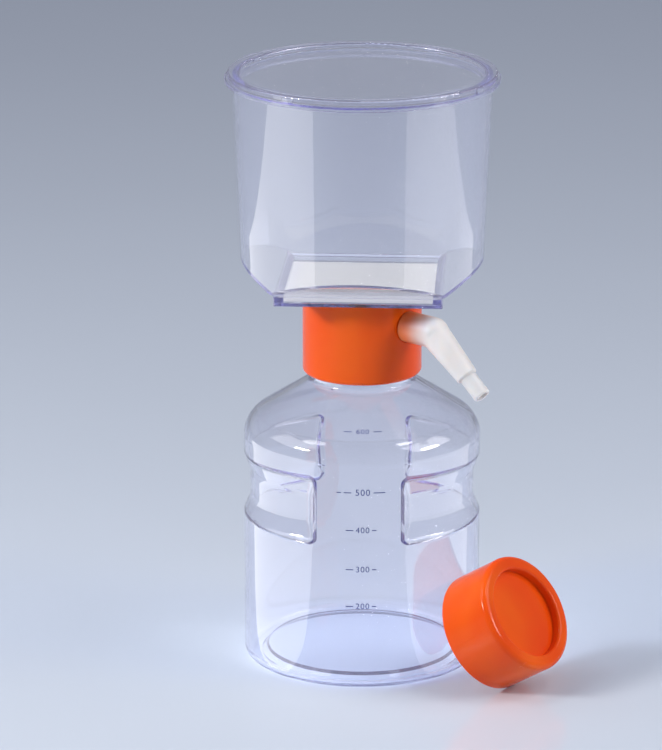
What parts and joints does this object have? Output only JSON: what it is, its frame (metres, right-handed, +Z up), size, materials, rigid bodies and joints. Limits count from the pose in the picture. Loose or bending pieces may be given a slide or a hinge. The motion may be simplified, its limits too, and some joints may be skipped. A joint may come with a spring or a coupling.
{
  "type": "vacuum filtration unit",
  "caption": "Clear round filter funnel with a square membrane foot, screwed by an orange collar with a side hose connector onto a clear receiver bottle; loose cap alongside.",
  "frame": {"origin": "centre of the bottle's foot, on the bottle's axis, at the level that it stands on", "axes": "+Z up the axis of the bottle, collar and funnel; the plain front panel of the bottle faces -Y and the hose connector points between +X and -Y"},
  "size_m": [0.1336, 0.1195, 0.2369],
  "materials": {
    "clear_polystyrene": "clear, smooth and glossy",
    "orange_plastic": "semi-gloss, faintly see-through where thin",
    "white_plastic": "milky, smooth",
    "membrane_film": "matt white film",
    "gasket_rubber": "soft, matt"
  },
  "bodies": {
    "receiver": {"bottle": "clear_polystyrene", "cap": "orange_plastic"},
    "seal": {"neck_gasket": "gasket_rubber"},
    "filter_head": {"collar": "orange_plastic", "support_plate": "clear_polystyrene", "membrane": "membrane_film", "funnel": "clear_polystyrene", "lid": "clear_polystyrene"},
    "connector": {"hose_connector": "white_plastic"}
  },
  "joints": [
    {"name": "head_lift", "type": "slide", "parent": "receiver", "child": "seal", "axis": [0, 0, 1], "range_m": [0, 0.0071]},
    {"name": "head_turn", "type": "hinge", "parent": "seal", "child": "filter_head", "pos_m": [0, 0, 0.134], "axis": [0, 0, 1], "range_deg": [0, 630]},
    {"name": "hose_swivel", "type": "hinge", "parent": "filter_head", "child": "connector", "pos_m": [0.02107, -0.01844, 0.1386], "axis": [0.7524, -0.6587, 0], "range_deg": [-110, 110]}
  ],
  "couplings": [
    {"joint": "head_lift", "follows": "head_turn", "m_per_rad": 0.0006366}
  ]
}
